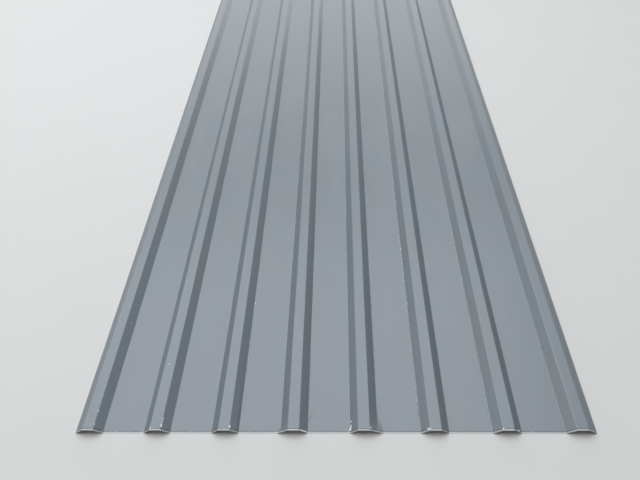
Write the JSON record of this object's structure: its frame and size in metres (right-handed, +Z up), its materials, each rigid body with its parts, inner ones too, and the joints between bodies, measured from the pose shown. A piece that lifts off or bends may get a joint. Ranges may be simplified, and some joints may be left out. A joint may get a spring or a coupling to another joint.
{
  "type": "corrugated metal sheet",
  "caption": "Trapezoidal ribbed roof and wall sheet of coated steel: flat pans between low ribs, with an outer flange along each edge rib that laps the next sheet.",
  "frame": {"origin": "on the plane that the pans rest on, in the middle of the sheet's length and width", "axes": "+X across the ribs, +Y along the ribs, +Z up through the weather face"},
  "size_m": [1.1666, 2.5, 0.0185],
  "materials": {
    "coated_steel": "semi-matt blue-grey polyester coat on galvanised steel, pale grey backing coat underneath, bare cut edges"
  },
  "bodies": {
    "root": {"profiled_sheet": "coated_steel"}
  },
  "joints": []
}
